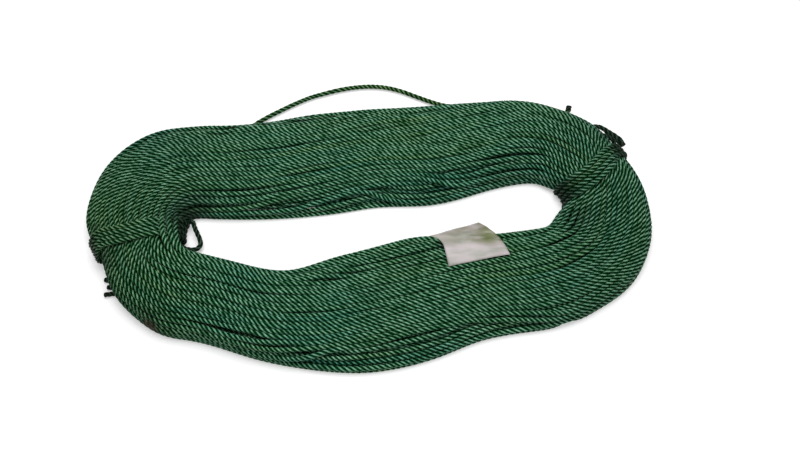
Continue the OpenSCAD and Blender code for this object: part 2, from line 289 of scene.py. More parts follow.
def evenly(line, step):
    """The line again, with its points a step apart."""
    run = distances(line)
    at = np.linspace(0, run[-1], max(2, int(round(run[-1] / step)) + 1))
    return np.stack([np.interp(at, run, line[:, k]) for k in range(3)], 1)


def smooth(points, step, places=12):
    """A smooth open curve through the points, with a point about every step.  It is worked out at
    some places between each two points, and a closely laid line needs few."""
    p = np.asarray(points, float)
    q = np.vstack([2 * p[0] - p[1], p, 2 * p[-1] - p[-2]])
    fine = [cubic(q[:-3], q[1:-2], q[2:-1], q[3:], k / places) for k in range(places)]
    return evenly(np.vstack([np.stack(fine, 1).reshape(-1, 3), p[-1:]]), step)


def even_out(line, times):
    """Takes the small kinks out of a line, and leaves its large bends as they are."""
    for _ in range(times):
        for amount in (0.5, -0.52):
            line = line.copy()
            line[1:-1] += amount * (0.5 * (line[:-2] + line[2:]) - line[1:-1])
    return line


def spread(push, times):
    """A push on the stiff cord, spread along it."""
    for _ in range(times):
        push[1:-1] = 0.25 * push[:-2] + 0.5 * push[1:-1] + 0.25 * push[2:]
    return push


def wavy(rng, count, spacing):
    """Smooth random values along the cord, with about one turning point for each spacing."""
    knots = int(count / spacing) + 4
    values = rng.standard_normal(knots)
    at = np.arange(count) / spacing + 1
    k = at.astype(int)
    after = values[np.minimum(k + 2, knots - 1)]
    return cubic(values[k - 1], values[k], values[k + 1], after, at - k)


# ---- The bundle ----------------------------------------------------------------------------------


class Ring:
    """The bundle's middle, width, foot and height at the places round the ring, in the order that the
    cord winds."""

    def __init__(self, sizes):
        table = np.array(STATIONS)
        middle = table[:, :2]
        along = unit(np.roll(middle, -1, 0) - np.roll(middle, 1, 0))
        outward = np.stack([along[:, 1], -along[:, 0]], 1)
        half = table[:, 2:3] / 2
        gaps = np.linalg.norm(np.roll(middle, -1, 0) - middle, axis=1)
        knots = np.append(0, np.cumsum(gaps))[:-1]
        total = gaps.sum()
        self.knots, self.total = knots, total
        self.at = (knots[SEAM] - np.arange(ROUND) * total / ROUND) % total
        inner = around(middle - outward * half, knots, total, self.at)
        outer = around(middle + outward * half, knots, total, self.at)
        out = unit(outer - inner)
        for station, beyond, into_eye in EASED:
            there = np.interp(station, np.arange(len(knots) + 1), np.append(knots, total))
            share = np.exp(-((self.apart(self.at - there) / EASED_REACH) ** 2))[:, None]
            outer = outer + out * share * beyond * MM
            inner = inner - out * share * into_eye * MM
        grip, self.rounded = np.zeros(ROUND), np.zeros((2, ROUND))
        for station, *sides in GRIPS:
            for side, (shift, drawn, rounded) in enumerate(sides):
                gap = self.apart(self.at - knots[station] - shift * MM)
                share = np.exp(-((gap / GRIP_REACH) ** 2))
                grip = np.maximum(grip, share)
                self.rounded[side] = np.maximum(self.rounded[side], share * rounded * MM)
                pull = out * (share * drawn)[:, None] * MM
                if side:
                    outer = outer - pull
                else:
                    inner = inner + pull
        self.foot = np.maximum(around(table[:, 3], knots, total, self.at), 0) * FOOT_SHARE
        self.width = np.linalg.norm(outer - inner, axis=1)
        self.out = unit(outer - inner)
        self.middle = (inner + outer) / 2
        r = sizes.diameter / 2
        self.area = sizes.turns * math.pi * r * r / sizes.packing
        self.height = self.area / (ARCH_FILL * self.width) * (1 - GRIP_SQUEEZE * grip)

    def apart(self, offset):
        """How far apart two places are, the shorter way round, from their distance along the ring."""
        return np.abs((offset + self.total / 2) % self.total - self.total / 2)

    def nearest(self, station):
        """The place round the ring that is nearest to a station."""
        return int(np.argmin(self.apart(self.at - self.knots[station])))


# ---- Laying the turns ----------------------------------------------------------------------------

LAYING_SEED = 11
PLAIN_WIDTH = 80 * MM  # of the plain section in which the turns are first counted out
ROW_STEP, ROW_LEAST = 0.88, 0.4  # how far apart its rows lie, and the least of one, in diameters
ARCH_POINTS, FOOT_POINTS = 90, 60  # points of a row over the crown and along the foot
# How a turn strays by itself: sizes, and spacings in turns; and how far it strays up, in diameters
STRAY, STRAY_AGAIN, STRAY_UP = (1, 0.22), (0.4, 0.10), (0.16, 0.18)
LAYING = 240  # steps in which the turns settle on each other
NEIGHBOURS, LOOK_AGAIN = 9, 8  # turns that each keeps off, and steps after which they are found anew
TOUCHING = 0.99  # how near two turns may come, in diameters
PUSH = 1.4  # how far a step moves two turns that are too near, over half of what is missing
STIFF, STIFF_LATE, LATE = 8, 4, 0.6  # how far a push spreads along the cord, and from when less far
STRAIGHTEN = 0.2  # how much a step takes out of a bend
SINK, SINKING = 0.003, 0.7  # how far a step lets turns sink, in diameters, and until when
FOOT_FLAT = 0.5  # share of the half-width over which the foot stays flat under a tie
# Where the turns count as on top (0 to 1 over this reach), and how near the edge they don't part
ON_TOP, ON_TOP_REACH, OFF_EDGE, OFF_EDGE_REACH = 0.4, 0.3, 1.02, 0.16


def section_rows(width, height, d):
    """The way of the winding through a plain section, row by row from the middle turn outwards."""
    rows = []
    inset = d / 2
    while height - 2 * inset > ROW_LEAST * d:
        a, h = width / 2 - inset, height - 2 * inset
        t = np.linspace(0, math.pi, ARCH_POINTS)
        x = -np.sign(np.cos(t)) * a * np.abs(np.cos(t)) ** (2 / ARCH_POWER)
        z = inset + h * np.maximum(np.sin(t), 0) ** (2 / ARCH_POWER)
        bottom = np.stack([np.linspace(a, -a, FOOT_POINTS), np.full(FOOT_POINTS, inset)], 1)
        rows.append(np.vstack([bottom, np.stack([x, z], 1)[1:]]))
        inset += ROW_STEP * d
    return rows[::-1]


def nearest_few(x, z, few):
    """The turns that lie nearest to each turn, at each place round the ring."""
    gap = (x[:, None] - x[None]) ** 2 + (z[:, None] - z[None]) ** 2
    return np.argpartition(gap, few, axis=1)[:, : few + 1]


def along_partings(ring, share, place):
    """How far the partings draw the turns near them along, as a share, and how far they push them, in
    metres."""
    drawn, weight, apart = np.zeros_like(share), np.full_like(share, DRAWN_HOME), np.zeros_like(share)
    knots = np.append(ring.knots, ring.total)
    s = ring.at[place]
    for *way, opening in PARTINGS:
        way = np.array(sorted(way))
        at = np.interp(way[:, 0], np.arange(len(knots)), knots)
        home = way[:, 1].mean()
        beyond = np.maximum(np.maximum(at[0] - s, s - at[-1]), 0)
        pull = np.exp(-((beyond / DRAWN_BEYOND) ** 2) - ((share - home) / DRAWN_ASIDE) ** 2)
        drawn += pull * np.clip(np.interp(s, at, way[:, 1]) - home, -DRAWN_MOST, DRAWN_MOST)
        weight += pull
        reach = (at[-1] - at[0]) / 2 + PARTED_BEYOND
        wide = np.clip(1 - ((s - (at[0] + at[-1]) / 2) / reach) ** 2, 0, 1)
        push = np.tanh((share - home) / PARTED_TURN) * np.exp(-np.abs(share - home) / PARTED_FADE)
        apart += PARTED * opening * MM * wide * push
    return drawn / weight, apart


def lay_turns(ring, sizes):
    """Where all turns lie at all places round the ring, across the bundle and up in metres, and the turn
    at which each layer ends."""
    d = sizes.diameter
    r = d / 2
    turns = sizes.turns
    rng = np.random.default_rng(LAYING_SEED)
    width, height = PLAIN_WIDTH, ring.area / (ARCH_FILL * PLAIN_WIDTH)
    rows = section_rows(width, height, d)
    ends = np.cumsum([len(row) for row in rows])
    rows = np.vstack(rows)
    run = distances(rows)
    layers = [int(round(run[end - 1] / run[-1] * turns)) for end in ends]
    count = turns * ROUND
    at = (np.arange(count) + 0.5) / count * run[-1]
    u = np.interp(at, run, rows[:, 0]) / (width / 2 - r)
    v = (np.interp(at, run, rows[:, 1]) - r) / (height - 2 * r)
    place = np.arange(count) % ROUND
    half = (ring.width / 2 - r)[place]
    tall = (ring.height - 2 * r)[place]
    foot, rounded = (ring.foot + r)[place], ring.rounded[:, place]

    def bottom(x):
        """The lowest place of a turn's middle: flat, and rounded off towards the edges under a tie."""
        beyond = np.clip((np.abs(x) / half - FOOT_FLAT) / (1 - FOOT_FLAT), 0, 1)
        return foot + np.where(x > 0, rounded[1], rounded[0]) * beyond**2

    drawn, apart = along_partings(ring, u, place)
    # Neighbours stray together, and each turn strays a little by itself.
    angle = 2 * math.pi * place / ROUND
    shared = sum(
        math.sin(1.7 * n + 0.4) * np.cos(n * angle + 2.1 * n * n) * np.cos(2.3 * n * u + 1.3 * n)
        for n in range(1, 6)
    )
    own = sum(size * wavy(rng, count, spacing * ROUND) for size, spacing in (STRAY, STRAY_AGAIN))
    home_x = (u + drawn) * half
    home_z = bottom(home_x) + v * tall
    x = home_x + apart + sizes.drift * shared + sizes.wander * own
    z = home_z + STRAY_UP[0] * d * wavy(rng, count, STRAY_UP[1] * ROUND)
    cols = np.arange(ROUND)
    for n in range(LAYING):
        if n % LOOK_AGAIN == 0:
            few = nearest_few(x.reshape(turns, ROUND), z.reshape(turns, ROUND), NEIGHBOURS)
        gx, gz = x.reshape(turns, ROUND), z.reshape(turns, ROUND)
        dx = gx[:, None, :] - gx[few, cols]
        dz = gz[:, None, :] - gz[few, cols]
        gap = np.sqrt(dx * dx + dz * dz)
        push = np.where(gap > 1e-7, np.maximum(d * TOUCHING - gap, 0), 0)
        scale = PUSH / np.sqrt(np.maximum((push > 0).sum(1), 1))
        push *= 0.5 / (gap + 1e-9)
        stiff = STIFF if n < LATE * LAYING else STIFF_LATE
        x = x + spread(((push * dx).sum(1) * scale).ravel(), stiff)
        z = z + spread(((push * dz).sum(1) * scale).ravel(), stiff)
        off_x, off_z = x - home_x, z - home_z
        for off in (off_x, off_z):
            off[1:-1] += STRAIGHTEN * (0.5 * (off[:-2] + off[2:]) - off[1:-1])
        x, z = home_x + off_x, home_z + off_z
        if n < SINKING * LAYING:
            z -= SINK * d
        # The bundle's outline holds them in.
        base = bottom(x)
        z = np.maximum(z, base)
        over = (np.abs(x) / half) ** ARCH_POWER + (np.maximum(z - base, 0) / tall) ** ARCH_POWER
        shrink = np.where(over > 1, over ** (-1 / ARCH_POWER), 1)
        x, z = x * shrink, base + (z - base) * shrink
    # The turns on top part a little more, now that all lie still.
    high = (np.abs(x) / half) ** ARCH_POWER + ((z - base) / tall) ** ARCH_POWER
    top = np.clip((high - ON_TOP) / ON_TOP_REACH, 0, 1)
    edge = np.clip((OFF_EDGE - np.abs(x) / half) / OFF_EDGE_REACH, 0, 1)
    x = x + PARTED_LAST * along_partings(ring, x / half, place)[1] * top * edge
    return x.reshape(turns, ROUND), z.reshape(turns, ROUND), layers


# Where the turns are darker beside the ties, in the eye's hollows and round the ends: partly dirt,
# and partly painted shade. A place in X and Y, how far it reaches, and how dark it is
SHADE_AND_DIRT = [
    ((-0.1428, -0.0066), 10 * MM, 0.75), ((-0.2039, -0.0390), 9 * MM, 0.45),
    ((0.1910, 0.0638), 9 * MM, 0.50), ((-0.1403, -0.0041), 14 * MM, 0.62),
    ((-0.1303, 0.0027), 9 * MM, 0.30), ((-0.1966, -0.0480), 13 * MM, 0.50),
    ((-0.1604, -0.0940), 11 * MM, 0.50), ((0.1150, 0.0314), 26 * MM, 0.16),
    ((0.1637, -0.0083), 12 * MM, 0.32), ((-0.2097, -0.0232), 9 * MM, 0.30),
]  # fmt: skip

# Inner turns that lie over the left tie: where they are across the bundle, how near its outline and
# how high, how far along the run they are lifted fully and at all, and how far, in diameters
OVER_FROM, OVER_LEVEL, OVER_ABOVE = -17 * MM, 0.70, 0.48
OVER_FLAT, OVER_REACH, OVER_LIFT = 10 * MM, 34 * MM, 0.95

_hank = {}  # what hank() has worked out, and the length of the wound cord


def hank():
    """The laid hank, worked out once: its ring, the turns' places and the cord's middle line."""
    if not _hank:
        sizes = bpy.context.scene.hank_cord
        ring = Ring(sizes)
        x, z, layers = lay_turns(ring, sizes)
        tie = ring.nearest(LEFT_TIE)
        half = ring.width[tie] / 2 - sizes.diameter / 2
        base = ring.foot[tie] + sizes.diameter / 2
        tall = ring.height[tie] - sizes.diameter
        across = np.clip(np.abs(x[:, tie]) / half, 0, 1)
        up = np.clip((z[:, tie] - base) / tall, 0, 1)
        over = (x[:, tie] < OVER_FROM) & (up > OVER_ABOVE)
        over &= across**ARCH_POWER + up**ARCH_POWER > OVER_LEVEL
        normal = np.stack([-(across ** (ARCH_POWER - 1)) / half, up ** (ARCH_POWER - 1) / tall], 1)
        normal = unit(normal)
        gap = ring.apart(ring.at - ring.at[tie])
        fall = np.clip((gap - OVER_FLAT) / (OVER_REACH - OVER_FLAT), 0, 1)
        bump = 0.5 + 0.5 * np.cos(math.pi * fall)
        lift = over[:, None] * bump[None] * sizes.diameter * OVER_LIFT
        x = x + normal[:, :1] * lift
        z = z + normal[:, 1:] * lift
        plan = ring.middle[None] + ring.out[None] * x[..., None]
        points = np.concatenate([plan, z[..., None]], 2)
        _hank.update(ring=ring, over=over, layers=layers, points=points, line=points.reshape(-1, 3))
    return _hank


# ---- Laid cord: a tube of three strands ----------------------------------------------------------

STRANDS = 3
# Corners of one strand across the cord, from groove to groove: share of the way, and where it lies
# between the groove (0) and the crest (1).
FINE_STRAND = [(0, 0), (0.16, 0.74), (0.38, 0.985), (0.62, 0.985), (0.84, 0.74)]
PLAIN_STRAND = [(0, 0), (0.28, 0.93), (0.72, 0.93)]
# How much the lay slips along the cord and how its tone changes: random values a step apart, in
# metres
SLIP_STEP, SLIP_SIZE, TONE_STEP = 22 * MM, 0.11, 110 * MM
SLIP = np.random.default_rng(99).standard_normal(6000)
TONE = np.random.default_rng(12).standard_normal(1400)
# A cut end that has melted: how far out its rings lie, in diameters, and how wide they are; how far
# it has darkened; and how its thickening grows towards it
MELTED_RINGS = ((0.10, 0.97), (0.22, 0.80), (0.30, 0.45))
MELT_REACH, FLARE_POWER = 10 * MM, 0.6
# Margins of the map for baking: of a row and of the whole, and the discs of the two ends: place,
# step from one to the other, half-width, and half-height over that of a row
ROW_EDGE, MAP_EDGE = 0.06, 0.005
DISC_PLACE, DISC_STEP, DISC_WIDE, DISC_TALL = 0.02, 0.05, 0.010, 0.3


def strand_corners(strand, groove):
    """The corners round a cord: their share of the turn, and their distance out in radii."""
    share, level = np.array(strand * STRANDS).T
    return (np.repeat(np.arange(STRANDS), len(strand)) + share) / STRANDS, 1 - groove * (1 - level)


def close_end(rings, run, line, ahead, diameter, last):
    """The rings of a cord and their places along it, with its last or its first end melted shut."""
    place, way = (-1, ahead[-1]) if last else (0, -ahead[0])
    edge, ring = line[place], rings[place]
    extra = [edge + way * diameter * out + (ring - edge) * wide for out, wide in MELTED_RINGS]
    more = np.array([out for out, _ in MELTED_RINGS]) * diameter
    if last:
        return np.concatenate([rings, extra]), np.append(run, run[-1] + more)
    return np.concatenate([extra[::-1], rings]), np.append(run[0] - more[::-1], run)


def bake_map(i, j, share, steps, length, diameter):
    """A map for baking: the cord's skin in even rows, one under the other, and its ends above them."""
    edge = np.append(share, 1.0)
    rows = max(1, int(math.ceil(math.sqrt(length / (math.pi * diameter)))))
    per_row = int(math.ceil(steps / rows))
    row, col = i // per_row, i % per_row
    u0, u1 = col / per_row, (col + 1) / per_row
    low = (row + ROW_EDGE) / (rows + 1)
    span = (1 - 2 * ROW_EDGE) / (rows + 1)
    u = np.stack([u0, u0, u1, u1], 1).ravel() * (1 - 2 * MAP_EDGE) + MAP_EDGE
    near_v, far_v = low + span * edge[j], low + span * edge[j + 1]
    v = np.stack([near_v, far_v, far_v, near_v], 1).ravel()
    disc_u = DISC_PLACE + DISC_WIDE * np.cos(2 * math.pi * share)
    disc_v = (rows + 0.5) / (rows + 1) + DISC_TALL / (rows + 1) * np.sin(2 * math.pi * share)
    u = np.concatenate([u, disc_u[::-1], disc_u + DISC_STEP])
    return u, np.concatenate([v, disc_v[::-1], disc_v])


def add_map(mesh, name, u, v):
    layer = mesh.uv_layers.new(name=name)
    layer.data.foreach_set("uv", np.stack([u, v], 1).astype(np.float32).ravel())


def add_values(mesh, name, values):
    attribute = mesh.attributes.new(name, "FLOAT", "POINT")
    attribute.data.foreach_set("value", values.astype(np.float32))


def cord_mesh(
    name, line, sizes, strand, side=UP, start=0.0, blunt=(False, False), shade_and_stain=None, flare=(0.0, 1.0)
):
    """A laid cord along a line of evenly spaced points.  Corners follow the strands, so that they are
    smooth.

    start is where the line begins on the whole cord, blunt tells which ends are cut and melted,
    shade_and_stain how dark each point is from painted shade and stains, and flare how much thicker a
    cut end is and over how many diameters."""
    share, radii = strand_corners(strand, sizes.groove)
    n = len(share)
    ahead = unit(np.gradient(line, axis=0))
    side = np.broadcast_to(np.asarray(side, float), line.shape)
    a = unit(side - ahead * (side * ahead).sum(1, keepdims=True))
    b = np.cross(ahead, a)
    run = distances(line)
    run_at = run + start
    # The lay is a little longer here and shorter there, and goes on from one piece to the next.
    slip = spread(SLIP_SIZE * np.interp(run_at / SLIP_STEP, np.arange(len(SLIP)), SLIP), 3)
    turn = 2 * math.pi * (share[None] + (run_at / sizes.lay + slip)[:, None])
    far = np.full(len(run), run[-1] + 1)
    from_end = np.minimum(run if blunt[0] else far, run[-1] - run if blunt[1] else far)
    swell = np.clip(1 - from_end / (flare[1] * sizes.diameter), 0, 1) ** FLARE_POWER
    thick = sizes.diameter / 2 * (1 + flare[0] * swell)
    rings = line[:, None] + (thick[:, None] * radii[None])[..., None] * (
        np.cos(turn)[..., None] * a[:, None] + np.sin(turn)[..., None] * b[:, None]
    )
    darkened = None if shade_and_stain is None else (run_at, shade_and_stain)
    for last in (False, True):
        if blunt[last]:
            rings, run_at = close_end(rings, run_at, line, ahead, sizes.diameter, last)

    m = len(rings)
    i, j = (grid.ravel() for grid in np.meshgrid(np.arange(m - 1), np.arange(n), indexing="ij"))
    k = (j + 1) % n
    quads = np.stack([i * n + j, i * n + k, (i + 1) * n + k, (i + 1) * n + j], 1)
    loops = np.concatenate([quads.ravel(), np.arange(n)[::-1], (m - 1) * n + np.arange(n)])
    starts = np.append(np.arange(len(quads)) * 4, [len(quads) * 4, len(quads) * 4 + n])
    mesh = bpy.data.meshes.new(name)
    mesh.vertices.add(m * n)
    mesh.vertices.foreach_set("co", rings.astype(np.float32).ravel())
    mesh.loops.add(len(loops))
    mesh.loops.foreach_set("vertex_index", loops.astype(np.int32))
    mesh.polygons.add(len(starts))
    mesh.polygons.foreach_set("loop_start", starts.astype(np.int32))
    mesh.update(calc_edges=True)
    mesh.polygons.foreach_set("use_smooth", np.ones(len(starts), bool))

    # Strand map: across the cord in turns, and along it in lays
    edge = np.append(share, 1.0)
    across = np.stack([edge[j], edge[j + 1], edge[j + 1], edge[j]], 1).ravel()
    lays = run_at / sizes.lay
    along = np.stack([lays[i], lays[i], lays[i + 1], lays[i + 1]], 1).ravel()
    across = np.concatenate([across, share[::-1], share])
    add_map(mesh, "Lay", across, np.concatenate([along, np.full(n, lays[0]), np.full(n, lays[-1])]))
    add_map(mesh, "OFBake", *bake_map(i, j, share, m - 1, run_at[-1] - run_at[0], sizes.diameter))

    # Slow changes of tone along the cord, and how near a cut end each point is, together with how dark
    # painted shade and stains make it
    tone = np.interp(run_at / TONE_STEP + 1, np.arange(len(TONE)), TONE)
    add_values(mesh, "tone", np.repeat(tone, n))
    near = np.zeros(m)
    for melted, away in zip(blunt, (run_at - run_at[0], run_at[-1] - run_at)):
        if melted:
            near = np.maximum(near, np.clip(1.2 - away / MELT_REACH, 0, 1))
    if darkened:
        near = np.maximum(near, np.interp(run_at, *darkened))
    add_values(mesh, "melt_shade_and_stain", np.repeat(near, n))
    piece = bpy.data.objects.new(name, mesh)
    bpy.context.scene.collection.objects.link(piece)
    return piece, run[-1]


# ---- Materials -----------------------------------------------------------------------------------

# The cord's patterns, in metres: how wide a filament is (the real ones are 0.2 mm, and are drawn
# coarser so that they show), how long it lies on top and how far it stands out; glints, which are
# painted highlights; and warm or cool patches
FILAMENT, FILAMENT_LENGTH, FILAMENT_RELIEF = 0.35 * MM, 6 * MM, 0.12 * MM
GLINT, PATCH = 5 * MM, 70 * MM
CREST_POWER, CREST_SHEEN = 1.7, 0.18  # how narrow a strand's crest is, and how much it shines
# How much the crest, the filaments and the glints lighten the cord, and where its colours lie on
# that: the groove's painted shade, the body, and the crest's painted highlight
CREST_SHARE, FILAMENT_SHARE, GLINT_SHARE = 0.75, 0.45, 0.5
GROOVE_AT, BODY_AT, CREST_AT = 0.40, 0.76, 1.0
TONE_SHARE = 0.16  # how much the tone along the cord adds to its patches
# Where the warm and the cool filter set in, how fast, and how far each goes
WARM_FROM, COOL_FROM, TONE_SLOPE, WARM_MOST, COOL_MOST = 0.56, 0.46, 2.2, 0.6, 0.9
# The hank has faded most at the left, towards its near side: how much nearness counts, where it
# starts in metres and how fast it grows; and both of its ends are painted darker, as painted shade
# where less light reaches them: where, how fast, and how much
FADED_NEAR, FADED_FROM, FADED_SLOPE = 0.6, -0.15, 6.0
ENDS_SHADE_FROM, ENDS_SHADE_SLOPE, ENDS_SHADE = 0.125, 20.0, 0.17
# The brown smudge, low at the left edge: where, how far it reaches, and how soft it is
SMUDGE, SMUDGE_REACH, SMUDGE_BLUR = (-0.1598, -0.0935, 0.0110), 8 * MM, 5 * MM

# The paper's patterns, in metres: how they are drawn out, the clouds, the soiled streaks, the
# fibres and how far they stand out; where across the run and along it the soil sets in; and where
# the cord's colour has come off on it, beside its curled edge
PAPER_DRAWN = (0.45, 1.6, 1.0)
CLOUD, STREAK, FIBRE, FIBRE_RELIEF = 12 * MM, 7 * MM, 1.2 * MM, 0.1 * MM
CLOUD_AT, CLEAR_AT, STREAK_FROM, STREAK_FULL = 0.36, 0.60, 0.25, 0.55
SOIL_FROM, SOIL_FULL, SOIL_LEFT, SOIL_RIGHT, SOIL_LEAST = -0.0375, -0.0290, 0.050, 0.090, 0.4
LABEL_SMEAR, SMEAR_REACH, SMEAR_FULL = (0.0915, -0.0257, 0.0235), 9 * MM, 1 * MM


def add_node(tree, kind, inputs=(), **settings):
    """Adds a shader node, sets its properties, and sets or links its inputs, by their order or by name.

    A node that is given as an input stands for its first output."""
    node = tree.nodes.new("ShaderNode" + kind)
    for name, value in settings.items():
        setattr(node, name, value)
    for name, value in inputs.items() if isinstance(inputs, dict) else enumerate(inputs):
        if isinstance(value, bpy.types.Node):
            value = value.outputs[0]
        if isinstance(value, bpy.types.NodeSocket):
            tree.links.new(value, node.inputs[name])
        else:
            node.inputs[name].default_value = value
    return node


def new_material(name, **sockets):
    """A new material, its tree, and its shader, whose own sockets are set."""
    material = bpy.data.materials.new(name)
    material.use_nodes = True
    shader = material.node_tree.nodes["Principled BSDF"]
    for socket, value in sockets.items():
        shader.inputs[socket.replace("_", " ")].default_value = value
    return material, material.node_tree, shader


def laid_polyethylene(name, tint=0.0, dark=1.0):
    """Laid polyethylene monofilament cord: waxy strands with a soft sheen on their crests, fine
    filaments that run along the cord, and small changes of tone from length to length.

    tint makes it warmer, and dark is its brightness."""
    colours = bpy.context.scene.hank_colours
    cord = bpy.context.scene.hank_cord
    # The roughness and the specular level are typical ones, for what can't read the linked ones.
    material, tree, shader = new_material(name, Roughness=0.38, IOR=1.5, Specular_IOR_Level=0.1)
    parts = add_node(tree, "SeparateXYZ", [add_node(tree, "UVMap", uv_map="Lay")])
    across, along = parts.outputs["X"], parts.outputs["Y"]
    place = add_node(tree, "TexCoord").outputs["Object"]
    parts = add_node(tree, "SeparateXYZ", [place])
    place_x, place_y = parts.outputs["X"], parts.outputs["Y"]
    tone = add_node(tree, "Attribute", attribute_name="tone").outputs["Fac"]
    melt_shade_and_stain = add_node(tree, "Attribute", attribute_name="melt_shade_and_stain").outputs["Fac"]

    # From groove (0) to crest (1) of a strand
    strand = add_node(tree, "Math", [across, STRANDS], operation="MULTIPLY")
    strand = add_node(tree, "Math", [strand], operation="FRACT")
    strand = add_node(tree, "Math", [strand, math.pi], operation="MULTIPLY")
    strand = add_node(tree, "Math", [strand], operation="SINE")
    crest = add_node(tree, "Math", [strand, CREST_POWER], operation="POWER")
    # Filaments lie along the cord, so their place is the angle round it.
    angle = add_node(tree, "Math", [across, along], operation="ADD")
    angle = add_node(tree, "Math", [angle, 2 * math.pi], operation="MULTIPLY")
    thread = {"Z": add_node(tree, "Math", [along, cord.lay / FILAMENT_LENGTH], operation="MULTIPLY")}
    for axis, operation in (("X", "COSINE"), ("Y", "SINE")):
        wave = add_node(tree, "Math", [angle], operation=operation)
        width = cord.diameter / 2 / FILAMENT
        thread[axis] = add_node(tree, "Math", [wave, width], operation="MULTIPLY")
    thread = add_node(tree, "CombineXYZ", thread)
    filaments = add_node(tree, "TexNoise", {"Vector": thread, "Scale": 1.0, "Detail": 2.0})
    patches = add_node(tree, "TexNoise", {"Vector": place, "Scale": 1 / PATCH, "Detail": 1.5})
    glints = add_node(tree, "TexNoise", {"Vector": place, "Scale": 1 / GLINT, "Detail": 1.0})

    # The cord's colour, from its grooves to its crests: painted shade in the grooves, its own colour
    # between, and a painted highlight on the crests, which the glints make brighter here and there
    light = add_node(tree, "Math", [crest, CREST_SHARE], operation="MULTIPLY")
    light = add_node(tree, "Math", [filaments, FILAMENT_SHARE, light], operation="MULTIPLY_ADD")
    light = add_node(tree, "Math", [glints, GLINT_SHARE, light], operation="MULTIPLY_ADD")
    light = add_node(tree, "Math", [light, GLINT_SHARE / 2], operation="SUBTRACT")
    ramp = add_node(tree, "ValToRGB", [light])
    stops = ramp.color_ramp.elements
    stops[0].position, stops[0].color = GROOVE_AT, (*colours.groove, 1)
    stops[1].position, stops[1].color = CREST_AT, (*colours.crest, 1)
    stops.new(BODY_AT).color = (*colours.body, 1)

    # Warmer and cooler lengths
    warmth = add_node(tree, "Math", [tone, TONE_SHARE, patches], operation="MULTIPLY_ADD")
    warm = add_node(tree, "MapRange", [warmth, WARM_FROM, WARM_FROM + 1 / TONE_SLOPE, 0, WARM_MOST])
    cool = add_node(tree, "MapRange", [warmth, COOL_FROM, COOL_FROM - 1 / TONE_SLOPE, 0, COOL_MOST])
    left = add_node(tree, "Math", [place_y, FADED_NEAR, place_x], operation="MULTIPLY_ADD")
    faded = add_node(tree, "MapRange", [left, FADED_FROM, FADED_FROM - 1 / FADED_SLOPE])
    warm = add_node(tree, "Math", [warm, faded], operation="ADD")
    warm = add_node(tree, "Math", [warm, tint], operation="ADD", use_clamp=True)
    mixed = add_node(
        tree, "Mix", {0: warm, 6: ramp, 7: (*colours.leaf, 1)}, data_type="RGBA", blend_type="MULTIPLY"
    ).outputs[2]
    mixed = add_node(
        tree, "Mix", {0: cool, 6: mixed, 7: (*colours.teal, 1)}, data_type="RGBA", blend_type="MULTIPLY"
    ).outputs[2]

    # Painted shade towards both ends, the brown smudge, and melted cut ends
    outward = add_node(tree, "Math", [place_x], operation="ABSOLUTE")
    ends_shade = [ENDS_SHADE_FROM, ENDS_SHADE_FROM + 1 / ENDS_SHADE_SLOPE, dark, dark * (1 - ENDS_SHADE)]
    value = add_node(tree, "MapRange", [outward, *ends_shade])
    mixed = add_node(tree, "HueSaturation", {"Color": mixed, "Value": value})
    away = add_node(tree, "VectorMath", [place, SMUDGE], operation="DISTANCE").outputs["Value"]
    smudge = add_node(tree, "MapRange", [away, SMUDGE_REACH, SMUDGE_REACH - SMUDGE_BLUR])
    lit = add_node(tree, "Math", [light, 0.1], operation="ADD", use_clamp=True)
    smudge = add_node(tree, "Math", [smudge, lit], operation="MULTIPLY")
    mixed = add_node(tree, "Mix", {0: smudge, 6: mixed, 7: (*colours.earth, 1)}, data_type="RGBA")
    mixed = mixed.outputs[2]
    # Melted cut ends, painted shade and stains all take the melted colour.
    mixed = add_node(tree, "Mix", {0: melt_shade_and_stain, 6: mixed, 7: (*colours.melted, 1)}, data_type="RGBA")
    tree.links.new(mixed.outputs[2], shader.inputs["Base Color"])

    # The wax lies on the crests, so that the grooves stay dull.
    rough = add_node(tree, "Math", [filaments, 0.22, 0.34], operation="MULTIPLY_ADD")
    tree.links.new(rough.outputs[0], shader.inputs["Roughness"])
    sheen = add_node(tree, "Math", [crest, CREST_SHEEN], operation="MULTIPLY")
    tree.links.new(sheen.outputs[0], shader.inputs["Specular IOR Level"])
    bump = add_node(tree, "Bump", {"Height": filaments, "Strength": 0.5, "Distance": FILAMENT_RELIEF})
    tree.links.new(bump.outputs[0], shader.inputs["Normal"])
    return material


